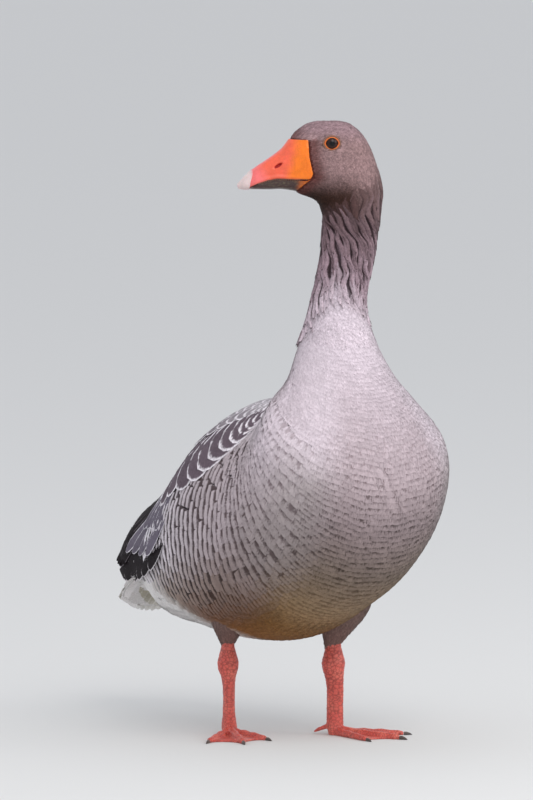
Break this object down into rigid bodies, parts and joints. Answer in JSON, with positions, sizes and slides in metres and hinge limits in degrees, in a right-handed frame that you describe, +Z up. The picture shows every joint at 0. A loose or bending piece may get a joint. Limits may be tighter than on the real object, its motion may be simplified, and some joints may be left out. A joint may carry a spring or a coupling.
{
  "type": "domestic goose",
  "caption": "Life-size still model of a grey domestic goose, standing with its weight on both webbed feet and its head turned to its right",
  "frame": {"origin": "middle of the bottom of the whole bird's box, on the ground under the belly", "axes": "+Z up; the body faces -Y, so the bird's left is +X and its tail points to +Y; the head is turned about 119 degrees to the bird's right"},
  "size_m": [0.231, 0.439, 0.6533],
  "materials": {
    "plumage": "matte feathers",
    "head_plumage": "matte short feathers",
    "pale_plumage": "matte feathers",
    "wing_plumage": "matte feathers with a slight sheen",
    "white_plumage": "matte feathers",
    "bill": "smooth horn with a soft gloss",
    "bill_nail": "smooth pale horn",
    "leg_skin": "scaly skin",
    "eye": "polished",
    "eyelid": "bare fine skin",
    "claw": "horn"
  },
  "bodies": {
    "root": {"trunk": "plumage", "neck_lower": "pale_plumage", "neck_middle": "plumage", "neck_upper": "plumage", "tail": "white_plumage", "wing_left": "wing_plumage", "thigh_left": "plumage", "shank_left": "leg_skin", "foot_left": "leg_skin", "claw_left_inner": "claw", "claw_left_middle": "claw", "claw_left_outer": "claw", "eye_left": "eye", "eyelid_left": "eyelid", "wing_right": "wing_plumage", "thigh_right": "plumage", "shank_right": "leg_skin", "foot_right": "leg_skin", "claw_right_inner": "claw", "claw_right_middle": "claw", "claw_right_outer": "claw", "eye_right": "eye", "eyelid_right": "eyelid", "head": "head_plumage", "upper_bill": "bill", "bill_nail": "bill_nail", "lower_bill": "bill"}
  },
  "joints": []
}
